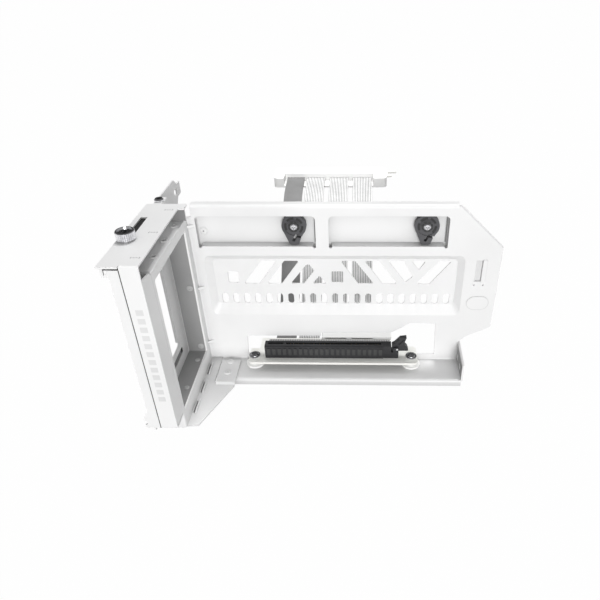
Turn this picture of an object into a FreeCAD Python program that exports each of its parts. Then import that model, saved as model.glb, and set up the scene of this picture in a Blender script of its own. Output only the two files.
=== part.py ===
import FreeCAD, Part
import math
import os
import Sketcher

# Vertical graphics-card mount: a folded sheet frame that slides along a fixed slot bracket,
# with a riser board, its slot connector and four flat ribbons up to a plug head.
# All sketches share one working frame: X = 0 is the face of the card window, Y = 0 is the
# front face of the tall plate, Z = 0 is the top of the shelf. The placement moves it so that
# the origin lies on the outer face of the slot bracket, where it meets the case.

os.makedirs("parts", exist_ok=True)
doc = FreeCAD.newDocument("vertical_card_mount")

# Driving sizes in millimetres
SIZES = [
    ("sheet", 1.2), ("thin_sheet", 1.0), ("bend_in", 1.0), ("slide_gap", 0.8), ("run_fit", 0.05),
    ("origin_y", -8), ("origin_z", 70),
    # card window frame
    ("frame_front", -74), ("frame_tall", 119.3), ("frame_width", 10.5), ("window_front", -70.5),
    ("window_back", -7.4), ("window_low", 13), ("slot_pitch", 20.32),
    ("collar_x", -4.3), ("collar_first", -54.4), ("collar_r", 2.6), ("thread_r", 1.25),
    ("tail_length", 11.6), ("tail_width", 1.6), ("floor_reach", 23.8), ("tab_start", 9.8),
    ("tab_front", -29), ("tab_back", -4.5),
    # liner behind the window
    ("liner_width", 14), ("liner_floor", 12.3), ("liner_back", -7),
    # tall plate
    ("plate_rise", 8.2), ("chamfer_run", 30.8), ("chamfer_drop", 30.5), ("low_right_z", 30.5),
    ("web_depth", 7), ("rail_tall", 7.7), ("window_tall", 22.3), ("left_window_start", 5),
    ("window_width", 80.3), ("post_width", 8.9),
    ("pan_left", 7), ("pan_low", 41), ("pan_gap", 7.2), ("pan_depth", 4), ("pan_slope", 4.5),
    ("pan_foot", 7.5), ("pan_corner", 4.5), ("slot_row_count", 22), ("slot_row_width", 4.4),
    # shelf
    ("shelf_left", 9), ("shelf_front", -25), ("lip_drop", 4), ("end_flange_tall", 17.2),
    # slot bracket and cover
    ("bracket_wall", -14.8), ("bracket_front", -86.7), ("bracket_low", 12.9), ("wall_low", 9.9),
    ("strip_left", -17), ("strip_right", -11.3), ("flange_left", -20.5), ("cover_rise", 11.7),
    ("cover_gap", 1.5), ("cover_left", -22.3), ("cover_back", -5.4), ("cover_front", -87.9),
    ("screw_x", -17), ("screw_y", -56), ("adjust_length", 32.3), ("adjust_half", 2.1),
    ("thumb_r", 5.5), ("thumb_tall", 5.8), ("thumb_shank_r", 1.7),
    # hook clips
    ("clip_r", 8.3), ("clip_front", 2), ("clip_thick", 3.8), ("clip_shank_r", 1.5),
    # riser board and slot connector
    ("board_top", 7.5), ("board_thick", 1.8), ("board_front", -14.6), ("board_left", 31.6),
    ("board_right", 159), ("board_back", 15.5), ("board_inner_left", 38.3),
    ("board_inner_right", 140.2), ("left_screw_x", 35.6), ("right_screw_x", 154.5),
    ("board_screw_y", -6.2), ("board_screw_r", 1.5), ("board_head_r", 4.2), ("standoff_r", 4.2),
    ("conn_left", 44.2), ("conn_length", 89), ("conn_front", -9.3), ("conn_width", 7.6),
    ("conn_tall", 11.2), ("rib_pitch", 4), ("rib_count", 22), ("card_slot_width", 1.8),
    ("card_slot_deep", 8), ("latch_end", 144.6), ("latch_pin_x", 143.5), ("latch_pin_z", 15.6),
    ("latch_pin_r", 0.8), ("latch_thick", 4),
    # ribbons and plug head
    ("ribbon_thick", 1.1), ("head_left", 38.4), ("head_right", 139.6), ("head_z", 91),
    ("head_step", 148), ("head_recess", 13), ("head_deep", 15), ("head_tall", 8.4),
    ("finger_left", 48.4), ("finger_length", 85.7), ("finger_reach", 6),
]

sheet = doc.addObject("Spreadsheet::Sheet", "Sizes")
for row, (alias, number) in enumerate(SIZES, 1):
    sheet.set("A%d" % row, alias)
    sheet.set("B%d" % row, str(number))
    sheet.setAlias("B%d" % row, alias)
doc.recompute()


class Size:
    """A length that keeps its number and its spreadsheet expression together."""

    def __init__(self, number, text):
        self.number = float(number)
        self.text = text

    def _join(self, other, sign, swap=False):
        other = as_size(other)
        a, b = (other, self) if swap else (self, other)
        numbers = {"+": a.number + b.number, "-": a.number - b.number, "*": a.number * b.number}
        number = a.number / b.number if sign == "/" else numbers[sign]
        return Size(number, "(%s %s %s)" % (a.text, sign, b.text))

    def __add__(self, other):
        return self._join(other, "+")

    def __radd__(self, other):
        return self._join(other, "+", True)

    def __sub__(self, other):
        return self._join(other, "-")

    def __rsub__(self, other):
        return self._join(other, "-", True)

    def __mul__(self, other):
        return self._join(other, "*")

    def __rmul__(self, other):
        return self._join(other, "*", True)

    def __truediv__(self, other):
        return self._join(other, "/")

    def __neg__(self):
        return self._join(-1, "*")

    def __float__(self):
        return self.number


def as_size(value):
    if isinstance(value, Size):
        return value
    return Size(value, "%.6f" % value)


class Sizes:
    """Reads a named size of the sheet, as S.name."""

    def __getattr__(self, alias):
        return Size(float(sheet.get(alias)), "Sizes." + alias)


S = Sizes()

# Sizes that follow from the others, so that neighbours stay mated when one changes
S.plate_top = S.frame_tall + S.plate_rise
S.window_top = S.plate_top - S.rail_tall
S.window_bottom = S.window_top - S.window_tall
S.window_step = S.window_width + S.post_width
S.chamfer_x = S.left_window_start + S.window_step + S.window_width + 5.5
S.plate_right = S.chamfer_x + 1.4 + S.chamfer_run
S.chamfer_z = S.plate_top - S.chamfer_drop
S.pan_right = S.chamfer_x + 8
S.pan_high = S.window_bottom - S.pan_gap
S.shelf_right = S.chamfer_x + 10.2
S.end_flange_x = S.shelf_right - 0.2
S.end_outer = S.end_flange_x + S.sheet
S.window_high = S.frame_tall - 6.5
S.cover_high = S.frame_tall + S.cover_rise
S.bracket_high = S.cover_high - S.thin_sheet - S.cover_gap
S.clip_z = S.window_top - 8.3
S.clip_left_x = S.left_window_start + S.window_width - 14.5
S.clip_right_x = S.clip_left_x + S.window_step
S.head_front = S.head_step - S.head_recess
S.head_back = S.head_step + S.head_deep
PLANES = {"XY": ("XY_Plane", 1), "XZ": ("XZ_Plane", -1), "YZ": ("YZ_Plane", 1)}
NODES = []


def bind(obj, prop, value):
    value = as_size(value)
    if "Sizes." in value.text:
        obj.setExpression(prop, value.text)
    return value.number


def new_body(label, place=(0, 0, 0), axis="Z"):
    """A piece of its own. Its place is given in the working frame."""
    body = doc.addObject("PartDesign::Body", label)
    body.Label = label
    shift = (-(S.bracket_wall - S.thin_sheet), -S.origin_y, -S.origin_z)
    where = [as_size(p) + s for p, s in zip(place, shift)]
    turns = {"Z": (0, 0, 1, 0), "-Y": (1, 0, 0, 90), "-X": (0, 1, 0, -90)}
    x, y, z, angle = turns[axis]
    body.Placement = FreeCAD.Placement(
        FreeCAD.Vector(*[float(p) for p in where]),
        FreeCAD.Rotation(FreeCAD.Vector(x, y, z), angle))
    for name, value in zip("xyz", where):
        bind(body, "Placement.Base." + name, value)
    NODES.append(body)
    return body


def number_pair(point):
    return float(as_size(point[0])), float(as_size(point[1]))


def pin_point(sk, geometry, vertex, point):
    """Fixes one vertex of the sketch at its distance from the origin."""
    for kind, value in (("DistanceX", point[0]), ("DistanceY", point[1])):
        value = as_size(value)
        index = sk.addConstraint(
            Sketcher.Constraint(kind, -1, 1, geometry, vertex, value.number))
        if "Sizes." in value.text:
            sk.setExpression("Constraints[%d]" % index, value.text)


def pin_radius(sk, geometry, radius):
    radius = as_size(radius)
    index = sk.addConstraint(Sketcher.Constraint("Radius", geometry, radius.number))
    if "Sizes." in radius.text:
        sk.setExpression("Constraints[%d]" % index, radius.text)


def add_polygon(sk, points):
    first = sk.GeometryCount
    flat = [FreeCAD.Vector(*number_pair(p), 0) for p in points]
    count = len(points)
    for i in range(count):
        sk.addGeometry(Part.LineSegment(flat[i], flat[(i + 1) % count]), False)
    for i in range(count):
        sk.addConstraint(Sketcher.Constraint(
            "Coincident", first + i, 2, first + (i + 1) % count, 1))
    for i, point in enumerate(points):
        pin_point(sk, first + i, 1, point)


def add_circle(sk, centre, radius):
    x, y = number_pair(centre)
    circle = Part.Circle(FreeCAD.Vector(x, y, 0), FreeCAD.Vector(0, 0, 1), float(as_size(radius)))
    index = sk.addGeometry(circle, False)
    pin_point(sk, index, 3, centre)
    pin_radius(sk, index, radius)


def add_obround(sk, start, end, radius):
    """A slot with round ends between two centres."""
    a = FreeCAD.Vector(*number_pair(start), 0)
    b = FreeCAD.Vector(*number_pair(end), 0)
    r = float(as_size(radius))
    along = math.atan2(b.y - a.y, b.x - a.x)
    side = FreeCAD.Vector(-math.sin(along), math.cos(along), 0) * r
    up = FreeCAD.Vector(0, 0, 1)
    first = sk.GeometryCount
    half = math.pi / 2
    sk.addGeometry(Part.ArcOfCircle(Part.Circle(a, up, r), along + half, along + 3 * half), False)
    sk.addGeometry(Part.ArcOfCircle(Part.Circle(b, up, r), along - half, along + half), False)
    sk.addGeometry(Part.LineSegment(a + side, b + side), False)
    sk.addGeometry(Part.LineSegment(a - side, b - side), False)
    for arc, vertex, line, end_vertex in ((0, 1, 2, 1), (0, 2, 3, 1), (1, 2, 2, 2), (1, 1, 3, 2)):
        sk.addConstraint(Sketcher.Constraint(
            "Tangent", first + arc, vertex, first + line, end_vertex))
    pin_point(sk, first, 3, start)
    pin_point(sk, first + 1, 3, end)
    pin_radius(sk, first, radius)


def add_rounded(sk, low, high, radius):
    """A rectangle between two corners with four equal round corners."""
    x0, y0 = number_pair(low)
    x1, y1 = number_pair(high)
    r = float(as_size(radius))
    first = sk.GeometryCount
    up = FreeCAD.Vector(0, 0, 1)
    centres = [(low[0] + radius, low[1] + radius), (high[0] - radius, low[1] + radius),
               (high[0] - radius, high[1] - radius), (low[0] + radius, high[1] - radius)]
    lines = [((x0 + r, y0), (x1 - r, y0)), ((x1, y0 + r), (x1, y1 - r)),
             ((x1 - r, y1), (x0 + r, y1)), ((x0, y1 - r), (x0, y0 + r))]
    for (ax, ay), (bx, by) in lines:
        sk.addGeometry(Part.LineSegment(FreeCAD.Vector(ax, ay, 0), FreeCAD.Vector(bx, by, 0)), False)
    for k, centre in enumerate(centres):
        start = math.pi + k * math.pi / 2
        circle = Part.Circle(FreeCAD.Vector(*number_pair(centre), 0), up, r)
        sk.addGeometry(Part.ArcOfCircle(circle, start, start + math.pi / 2), False)
    for k in range(4):
        sk.addConstraint(Sketcher.Constraint("Tangent", first + 4 + k, 2, first + k, 1))
        sk.addConstraint(Sketcher.Constraint("Tangent", first + 4 + k, 1, first + (k + 3) % 4, 2))
    for k, centre in enumerate(centres):
        pin_point(sk, first + 4 + k, 3, centre)
    pin_radius(sk, first + 4, radius)


def box(x0, y0, x1, y1):
    return [(x0, y0), (x1, y0), (x1, y1), (x0, y1)]


def sketch(body, plane, name, loops, level=0):
    """Closed loops on one of the body's own planes, moved along its normal to a level."""
    role, sign = PLANES[plane]
    sk = body.newObject("Sketcher::SketchObject", name)
    own = [f for f in body.Origin.OriginFeatures if f.Role == role][0]
    sk.AttachmentSupport = (own, [""])
    sk.MapMode = "FlatFace"
    offset = as_size(level) * sign
    sk.AttachmentOffset = FreeCAD.Placement(
        FreeCAD.Vector(0, 0, float(offset)), FreeCAD.Rotation())
    bind(sk, ".AttachmentOffset.Base.z", offset)
    for loop in loops:
        if loop[0] == "circle":
            add_circle(sk, loop[1], loop[2])
        elif loop[0] == "obround":
            add_obround(sk, loop[1], loop[2], loop[3])
        elif loop[0] == "rounded":
            add_rounded(sk, loop[1], loop[2], as_size(loop[3]))
        else:
            add_polygon(sk, loop)
    return sk


def pad(body, name, plane, loops, start, end):
    """Material between two levels along the plane's axis."""
    base = end if plane == "XZ" else start
    feature = body.newObject("PartDesign::Pad", name)
    feature.Profile = sketch(body, plane, name + "_sketch", loops, base)
    feature.Length = bind(feature, "Length", as_size(end) - start)
    body.Tip = feature
    return feature


def pocket(body, name, plane, loops, start, end):
    """A cut between two levels along the plane's axis."""
    base = start if plane == "XZ" else end
    feature = body.newObject("PartDesign::Pocket", name)
    feature.Profile = sketch(body, plane, name + "_sketch", loops, base)
    feature.Length = bind(feature, "Length", as_size(end) - start)
    body.Tip = feature
    return feature


def revolve(body, name, profile, cut=False):
    """Turns a profile of (radius, height) points about the body's own Z axis."""
    kind = "PartDesign::Groove" if cut else "PartDesign::Revolution"
    feature = body.newObject(kind, name)
    sk = sketch(body, "XZ", name + "_sketch", [profile])
    feature.Profile = sk
    feature.ReferenceAxis = (sk, ["V_Axis"])
    feature.Angle = 360
    body.Tip = feature
    return feature


def loft(body, name, plane, first, second, cut=False):
    """A straight loft between two loops, each given with its level."""
    kind = "PartDesign::SubtractiveLoft" if cut else "PartDesign::AdditiveLoft"
    lower = sketch(body, plane, name + "_from", [first[0]], first[1])
    upper = sketch(body, plane, name + "_to", [second[0]], second[1])
    feature = body.newObject(kind, name)
    feature.Profile = lower
    feature.Sections = [upper]
    feature.Ruled = True
    body.Tip = feature
    return feature


def straight_edges(shape, axis, places):
    """Names of the edges that run along an axis through any of the places."""
    index = "XYZ".index(axis)
    names = []
    for number, edge in enumerate(shape.Edges, 1):
        ends = [v.Point for v in edge.Vertexes]
        if len(ends) != 2 or edge.Curve.TypeId != "Part::GeomLine":
            continue
        across = [[p[i] for i in range(3) if i != index] for p in ends]
        for place in places:
            spot = number_pair(place)
            if all(abs(a[k] - spot[k]) < 0.02 for a in across for k in (0, 1)):
                names.append("Edge%d" % number)
    return names


def round_bends(body, name, axis, places, radius):
    """Rounds the edges along an axis that pass through the places."""
    doc.recompute()
    base = body.Tip
    edges = straight_edges(base.Shape, axis, places)
    if not edges:
        raise ValueError("no edge to round: " + name)
    feature = body.newObject("PartDesign::Fillet", name)
    feature.Base = (base, edges)
    feature.Radius = bind(feature, "Radius", radius)
    body.Tip = feature
    doc.recompute()
    if "Invalid" in feature.State or feature.Shape.isNull():
        raise ValueError("failed bend: " + name)
    return feature


def repeat(body, name, features, axis_role, step, count):
    """A straight row of features along one of the body's own axes."""
    feature = body.newObject("PartDesign::LinearPattern", name)
    own = [f for f in body.Origin.OriginFeatures if f.Role == axis_role][0]
    feature.Originals = features
    feature.Direction = (own, [""])
    feature.Occurrences = count
    feature.Length = bind(feature, "Length", as_size(step) * (count - 1))
    body.Tip = feature
    doc.recompute()
    return feature


# Slot bracket: the fixed sheet that lies against the case
wall_outer = S.bracket_wall - S.thin_sheet
flange_under = S.bracket_high - S.thin_sheet
cover_under = S.cover_high - S.thin_sheet
strip_back = S.bracket_front + S.thin_sheet
case_front = -72
case_back = -20.8
case_low = 28.5
case_high = S.bracket_high - 12.5
body = new_body("slot_bracket")
pad(body, "folded_wall", "XZ", [[
    (S.flange_left, flange_under), (wall_outer, flange_under), (wall_outer, S.wall_low),
    (S.bracket_wall, S.wall_low), (S.bracket_wall, S.bracket_high),
    (S.flange_left, S.bracket_high),
]], strip_back, 12)
round_bends(body, "flange_bend", "Y", [(S.bracket_wall, S.bracket_high)], 1.2 * S.thin_sheet)
pocket(body, "wall_openings", "YZ", [
    box(case_front, case_low, case_back, case_high),
    [(2, S.wall_low - 1), (13, S.wall_low - 1), (13, S.wall_low + 15)],
], wall_outer - 0.5, S.bracket_wall + 0.5)
round_bends(body, "window_corners", "X", [
    (y, z) for y in (case_front, case_back) for z in (case_low, case_high)], 3)
pocket(body, "foot_bead", "YZ", [("obround", (-69, 21.5), (-19, 21.5), 2.6)],
       S.bracket_wall - 0.5, S.bracket_wall + 0.5)
hook_right = -19.4
pad(body, "front_strip", "XZ", [[
    (S.strip_right, S.bracket_low), (S.strip_right, S.bracket_high - 0.1),
    (-16.2, S.bracket_high), (hook_right, S.bracket_high - 3.3), (hook_right, cover_under - 0.1),
    (-21, cover_under - 0.1), (-21, S.bracket_high - 4.5), (S.strip_left, S.bracket_high - 4.5),
    (S.strip_left, 27.7), (-20.4, 20.7), (-20.4, 12.7),
    (S.strip_left, S.bracket_low),
]], S.bracket_front, strip_back)
pocket(body, "foot_notch", "XZ", [("circle", (-20.1, 17.1), 1.5)], S.bracket_front, strip_back)
pad(body, "rear_tab", "YZ", [[
    (9, S.bracket_high - 18.5), (43.6, S.bracket_high - 18.5), (47.5, S.bracket_high - 14.1),
    (55, S.bracket_high - 13.9), (55, S.bracket_high - 4.8), (49.5, S.bracket_high - 5.2),
    (43, S.bracket_high), (9, S.bracket_high),
]], S.flange_left, S.flange_left + S.thin_sheet)
pocket(body, "rear_tab_hole", "YZ", [
    box(40.5, S.bracket_high - 11.7, 46.5, S.bracket_high - 7.2)],
       S.flange_left - 1, S.flange_left + S.thin_sheet + 1)
pad(body, "window_return", "XY", [
    box(wall_outer - 1.1, case_back - S.thin_sheet, S.bracket_wall, case_back + 0.1),
], case_low + 2.5, case_high - 2.5)
pad(body, "thread_collar", "XY", [("circle", (S.screw_x, S.screw_y), S.collar_r + 0.4)],
    S.bracket_high - 0.2, S.cover_high - S.thin_sheet - 0.1)
pocket(body, "thread_bore", "XY", [
    ("circle", (S.screw_x, S.screw_y), S.thumb_shank_r + S.run_fit),
], flange_under - 3, S.cover_high)
pocket(body, "rear_screw_bore", "XY", [("circle", (-18, 5.5), 1.5)],
       flange_under - 1, S.bracket_high + 1)

# Rear case screw on the flange
body = new_body("rear_screw", (-18, 5.5, S.bracket_high))
revolve(body, "turned", [
    (0, -S.thin_sheet), (1.5, -S.thin_sheet), (1.5, 0), (3.1, 0), (3.1, 1.1), (2.4, 1.9),
    (0, 2.2)])


def cross(size, arm):
    """Outline of a cross recess."""
    s, a = size, arm
    return [(-a, -s), (a, -s), (a, -a), (s, -a), (s, a), (a, a), (a, s), (-a, s), (-a, a),
            (-s, a), (-s, -a), (-a, -a)]


pocket(body, "recess", "XY", [cross(1.5, 0.35)], 0.9, 2.4)

# Thumb screw: knurled head over the cover, stem down through the bracket's collar. The stem
# ends with the flange's underside, so that nothing stands proud of the face toward the case
stem_end = flange_under - S.cover_high
body = new_body("thumb_stem", (S.screw_x, S.screw_y, S.cover_high + 0.05))
revolve(body, "turned", [
    (0, stem_end), (S.thumb_shank_r - 0.4, stem_end), (S.thumb_shank_r, stem_end + 0.4),
    (S.thumb_shank_r, 0), (0, 0)])
body = new_body("thumb_knob", (S.screw_x, S.screw_y, S.cover_high + 0.05))
revolve(body, "turned", [
    (0, 0), (S.thumb_r - 1, 0), (S.thumb_r - 1, 0.7), (S.thumb_r, 0.9),
    (S.thumb_r, S.thumb_tall - 0.5), (S.thumb_r - 0.5, S.thumb_tall),
    (S.thumb_r - 1.1, S.thumb_tall), (S.thumb_r - 1.5, S.thumb_tall - 1.2),
    (0, S.thumb_tall - 1.2)])
groove = pocket(body, "knurl", "XY", [[
    (S.thumb_r - 0.35, 0), (S.thumb_r + 0.3, -0.42), (S.thumb_r + 0.3, 0.42),
]], 0.7, S.thumb_tall + 1)
doc.recompute()
ring = body.newObject("PartDesign::PolarPattern", "knurl_ring")
ring.Originals = [groove]
ring.Axis = ([f for f in body.Origin.OriginFeatures if f.Role == "Z_Axis"][0], [""])
ring.Angle = 360
ring.Occurrences = 30
body.Tip = ring
doc.recompute()
pocket(body, "recess", "XY", [cross(2.4, 0.45)], S.thumb_tall - 2.9, S.thumb_tall)

# Dark glide pad between the bracket's flange and the cover
body = new_body("glide_pad")
pad(body, "pad", "XY", [
    [(S.flange_left + 0.2, strip_back + 0.1), (hook_right + 0.1, strip_back + 0.1),
     (hook_right + 0.1, S.bracket_front + 0.2), (S.strip_right - 0.1, S.bracket_front + 0.2),
     (S.strip_right - 0.1, -8), (S.flange_left + 0.2, -8)],
    ("circle", (S.screw_x, S.screw_y), S.collar_r + 0.5),
], S.bracket_high, cover_under - 0.2)

# Cover: folded top plate and front strip that travel with the frame
cover_face = S.bracket_front - 0.5
body = new_body("cover_bracket")
pad(body, "folded_strip", "YZ", [[
    (cover_face, S.bracket_low), (cover_face, S.cover_high), (-60, S.cover_high),
    (-60, cover_under), (cover_face + S.thin_sheet, cover_under),
    (cover_face + S.thin_sheet, S.bracket_low + S.thin_sheet),
    (S.frame_front - S.thin_sheet, S.bracket_low + S.thin_sheet),
    (S.frame_front - S.thin_sheet, S.bracket_low + 12), (S.frame_front, S.bracket_low + 12),
    (S.frame_front, S.bracket_low),
]], -S.frame_width, 0)
round_bends(body, "folds", "X", [
    (cover_face, S.cover_high), (cover_face, S.bracket_low),
    (S.frame_front, S.bracket_low)], 1.3 * S.thin_sheet)
pad(body, "top_plate", "XY", [
    [(S.cover_left, S.cover_front), (-S.frame_width - 0.4, S.cover_front),
     (-S.frame_width, cover_face + 2), (0, cover_face + 2), (0, -13), (3.9, -13),
     (3.9, S.cover_back), (S.cover_left, S.cover_back)],
    box(S.screw_x - S.adjust_half, S.screw_y - S.adjust_half - 0.3, S.screw_x + S.adjust_half,
        S.screw_y + S.adjust_length - S.adjust_half),
], cover_under, S.cover_high)
round_bends(body, "plate_corners", "Z", [(3.9, -13), (3.9, S.cover_back)], 1)
pad(body, "side_wall", "YZ", [[
    (cover_face + 0.6, S.bracket_low + 1.6), (S.frame_front, S.bracket_low + 1.6),
    (S.frame_front, S.frame_tall - 0.8), (S.frame_front - 2.5, S.frame_tall + 1.2),
    (cover_face + 0.6, S.frame_tall + 2.7),
]], -S.thin_sheet, 0)
pad(body, "rear_flange", "XY", [
    box(-S.frame_width + 0.5, S.cover_back - S.thin_sheet, 1.8, S.cover_back),
], S.frame_tall + 0.5, cover_under + 0.3)

# Card window frame: side wall, front wall, top flange and floor plate
frame_body = new_body("card_frame")
body = frame_body
inner = S.frame_front + S.sheet
corner = -(S.bend_in + S.sheet)
pad(body, "folded_wall", "XY", [[
    (-S.frame_width, S.frame_front), (0, S.frame_front), (0, corner), (-S.sheet, corner),
    (-S.sheet, inner), (-S.frame_width, inner),
]], 0, S.frame_tall)
round_bends(body, "front_fold", "Z", [(0, S.frame_front)], 1.1 * S.sheet)
pocket(body, "card_window", "YZ", [
    box(S.window_front, S.window_low, S.window_back, S.window_high),
], -S.sheet - 0.1, 0.5)
round_bends(body, "window_corners", "X", [
    (S.window_front, S.window_low), (S.window_front, S.window_high),
    (S.window_back, S.window_low), (S.window_back, S.window_high)], 1.5)
pad(body, "top_flange", "XY", [box(-S.frame_width, S.frame_front + 2, 0, -5)],
    S.frame_tall - S.sheet, S.frame_tall)
pad(body, "floor_plate", "XY", [[
    (-S.sheet, S.frame_front + 2), (0.5, S.frame_front + 2), (6.9, -71.7), (S.floor_reach, -32.2),
    (S.floor_reach, -31), (S.tab_start, -31), (S.tab_start, S.tab_front),
    (S.shelf_left - 0.6, S.tab_front + 1.5), (S.shelf_left - 0.6, 2), (-S.sheet, 2),
]], -S.sheet, 0)
pad(body, "tail_rail", "XY", [box(-0.2, S.frame_front + 5, S.tail_width + 1.4, -4)],
    -S.sheet - 2, -S.sheet + 0.1)
pad(body, "tab", "YZ", [[
    (-32, -S.sheet), (S.tab_front - 1.6, -S.sheet), (S.tab_front, 0.02),
    (S.tab_back, 0.02), (S.tab_back, S.sheet), (S.tab_front - 0.6, S.sheet),
    (S.tab_front - 2.2, 0), (-32, 0),
]], S.tab_start, S.floor_reach)
pocket(body, "tab_bores", "XY", [("circle", (16.3, y), 1.5) for y in (-6.5, -19.2)], -0.1, 3)
slots = [pocket(body, "tail_slot", "XY", [
    box(0.6, S.collar_first - S.tail_length / 2, 0.6 + S.tail_width,
        S.collar_first + S.tail_length / 2),
], -S.sheet - 1.5, 0.5)]
doc.recompute()
repeat(body, "tail_slots", slots, "Y_Axis", S.slot_pitch, 3)
lip = pad(body, "slot_lip", "YZ", [[
    (S.collar_first - 6.8, -0.1), (S.collar_first + 6.6, -0.1), (S.collar_first + 6.6, 1.5),
    (S.collar_first - 4.8, 1.5), (S.collar_first - 6.8, 0.4),
]], 0.6 + S.tail_width, 1.5 + S.tail_width)
doc.recompute()
repeat(body, "slot_lips", [lip], "Y_Axis", S.slot_pitch, 3)
collar = pad(body, "collar", "XY", [("circle", (S.collar_x, S.collar_first), S.collar_r)],
             S.frame_tall - 3, S.frame_tall + 0.35)
doc.recompute()
repeat(body, "collars", [collar], "Y_Axis", S.slot_pitch, 3)
bore = pocket(body, "collar_bore", "XY", [("circle", (S.collar_x, S.collar_first), S.thread_r)],
              S.frame_tall - 4, S.frame_tall + 1)
doc.recompute()
repeat(body, "collar_bores", [bore], "Y_Axis", S.slot_pitch, 3)

# Liner: floor and back wall of the short tunnel behind the window
liner_under = S.liner_floor - S.sheet
body = new_body("tunnel_liner")
pad(body, "folded_strip", "YZ", [[
    (inner, liner_under), (S.liner_back + S.sheet, liner_under),
    (S.liner_back + S.sheet, S.frame_tall - S.sheet), (S.liner_back, S.frame_tall - S.sheet),
    (S.liner_back, S.liner_floor), (inner, S.liner_floor),
]], -S.liner_width, -S.sheet)
round_bends(body, "fold_inside", "X", [(S.liner_back, S.liner_floor)], S.bend_in)
round_bends(body, "fold_outside", "X", [(S.liner_back + S.sheet, liner_under)],
            S.bend_in + S.sheet)
pocket(body, "front_relief", "XY", [
    box(-S.liner_width - 1, inner - 1, -S.frame_width, S.screw_y - 1),
], liner_under - 1, S.liner_floor + 1)
pocket(body, "rivet_bores", "XY", [("circle", (-4.7, y), 1.5) for y in (-18.3, -48.3)],
       liner_under - 1, S.liner_floor + 1)
pocket(body, "wall_bores", "XZ", [("circle", (-4.3, z), 1.5) for z in (68, 16.6)],
       S.liner_back - 1, S.liner_back + S.sheet + 1)


def rivet(label, place, axis, head_r=2.3, grip=2.4):
    """A domed rivet: its head sits on the place, its shank runs back along the axis."""
    piece = new_body(label, place, axis)
    revolve(piece, "turned", [
        (0, -grip - 0.7), (2.0, -grip - 0.7), (2.0, -grip), (1.45, -grip), (1.45, 0),
        (head_r, 0), (head_r, 0.25), (head_r - 0.6, 0.7), (0, 0.9)])
    pocket(piece, "dimple", "XY", [("circle", (0, 0), 0.55)], 0.5, 1.2)
    return piece


rivet("liner_rivet_front", (-4.7, -48.3, S.liner_floor), "Z", 1.9, grip=1.2)
rivet("liner_rivet_rear", (-4.7, -18.3, S.liner_floor), "Z", 1.9, grip=1.2)
rivet("liner_wall_rivet_high", (-4.3, S.liner_back, 68), "-Y", grip=1.2)
rivet("liner_wall_rivet_low", (-4.3, S.liner_back, 16.6), "-Y", grip=1.2)
rivet("tab_rivet_front", (16.3, -19.2, S.sheet), "Z", 2.6)
rivet("tab_rivet_rear", (16.3, -6.5, S.sheet), "Z", 2.6)

# Tall plate with its folded top channel, pressed pan and shelf
body = new_body("main_plate")
windows = []
for start in (S.left_window_start, S.left_window_start + S.window_step):
    windows.append(box(start, S.window_bottom, start + S.window_width, S.window_top))
outer_bend = S.bend_in + S.sheet
pad(body, "top_channel", "YZ", [[
    (0, S.plate_top - 4), (S.sheet, S.plate_top - 4), (S.sheet, S.plate_top - S.sheet),
    (S.web_depth, S.plate_top - S.sheet), (S.web_depth, S.window_bottom - 4.5),
    (S.web_depth + S.sheet, S.window_bottom - 4.5), (S.web_depth + S.sheet, S.plate_top),
    (0, S.plate_top),
]], 3, S.chamfer_x)
round_bends(body, "channel_folds", "X", [
    (0, S.plate_top), (S.web_depth + S.sheet, S.plate_top)], outer_bend)
round_bends(body, "channel_folds_inside", "X", [
    (S.sheet, S.plate_top - S.sheet), (S.web_depth, S.plate_top - S.sheet)], S.bend_in)
face_top = S.plate_top - outer_bend - 0.2
pad(body, "face", "XZ", [[
    (1.5, 1), (S.shelf_left, 1), (S.shelf_left, 2), (S.end_outer, 2),
    (S.end_outer, S.end_flange_tall + 0.8), (S.end_outer + 2.3, S.end_flange_tall + 3.6),
    (S.end_outer + 5.8, S.end_flange_tall + 6.1), (S.plate_right, S.low_right_z),
    (S.plate_right, S.chamfer_z), (S.chamfer_x + 1.4, S.plate_top),
    (S.chamfer_x + 0.02, S.plate_top), (S.chamfer_x + 0.02, face_top), (3, face_top),
    (3, S.frame_tall), (1.5, S.frame_tall),
]] + windows, 0, S.sheet)
round_bends(body, "window_corners", "Y", [
    (x, S.window_top) for x in (S.left_window_start, S.left_window_start + S.window_width,
                                S.left_window_start + S.window_step,
                                S.left_window_start + S.window_step + S.window_width)], 3)
round_bends(body, "outline_corners", "Y", [
    (S.plate_right, S.chamfer_z), (S.plate_right, S.low_right_z)], 2.5)
pad(body, "shelf", "YZ", [[
    (S.sheet, 3), (S.sheet, -S.sheet), (S.shelf_front + S.sheet, -S.sheet),
    (S.shelf_front + S.sheet, -S.sheet - S.lip_drop), (S.shelf_front, -S.sheet - S.lip_drop),
    (S.shelf_front, 0), (0, 0), (0, 3),
]], S.shelf_left, S.shelf_right)
round_bends(body, "shelf_folds_outside", "X", [
    (S.sheet, -S.sheet), (S.shelf_front, 0)], outer_bend)
round_bends(body, "shelf_folds_inside", "X", [
    (0, 0), (S.shelf_front + S.sheet, -S.sheet)], S.bend_in)
pad(body, "end_fold", "XZ", [[
    (S.shelf_right - 1.5, -S.sheet), (S.end_outer, -S.sheet),
    (S.end_outer, S.end_flange_tall), (S.end_flange_x, S.end_flange_tall),
    (S.end_flange_x, 0), (S.shelf_right - 1.5, 0),
]], S.shelf_front + 0.4, 0)
round_bends(body, "end_fold_outside", "Y", [(S.end_outer, -S.sheet)], 0.75 * S.sheet)
pocket(body, "end_slope", "YZ", [[
    (S.shelf_front - 1, S.end_flange_tall - 3.6), (-0.02, S.end_flange_tall),
    (-0.02, S.end_flange_tall + 1), (S.shelf_front - 1, S.end_flange_tall + 1),
]], S.end_flange_x - 0.5, S.end_outer + 0.5)
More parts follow.
